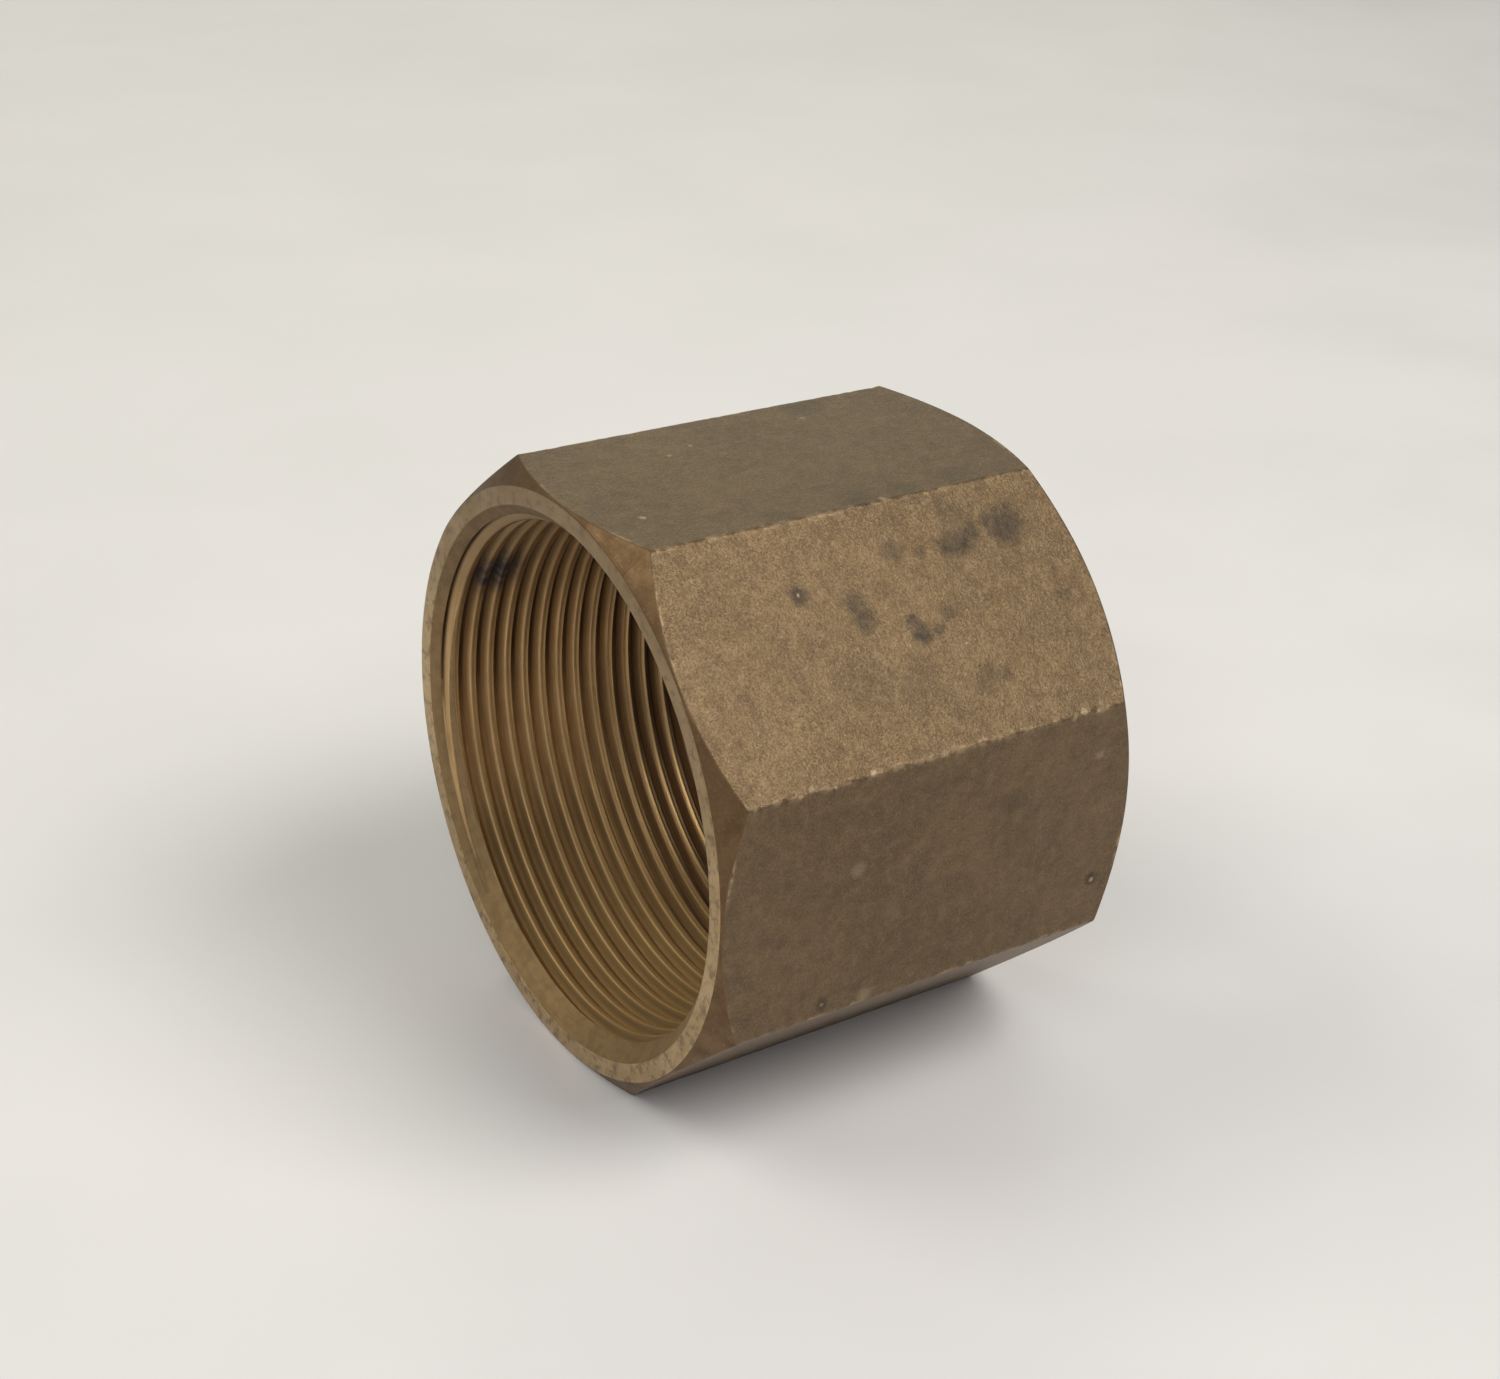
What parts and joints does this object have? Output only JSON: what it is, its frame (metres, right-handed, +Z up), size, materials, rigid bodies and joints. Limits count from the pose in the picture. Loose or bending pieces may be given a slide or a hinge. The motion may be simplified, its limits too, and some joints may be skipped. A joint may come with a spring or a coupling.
{
  "type": "pipe coupling",
  "caption": "Octagonal threaded pipe coupling: one brass body with eight wrench flats and a through-bore with an internal pipe thread.",
  "frame": {"origin": "on the bore axis, half way between the two end faces", "axes": "+X along the bore axis; +Z up, square to one wrench flat, with the opposite flat down; +Y completes the right-handed frame"},
  "size_m": [0.052, 0.066, 0.066],
  "materials": {
    "brass": "aged, fine blasted skin outside with stains; machined and slightly tarnished in the bore"
  },
  "bodies": {
    "root": {"coupling_body": "brass"}
  },
  "joints": []
}
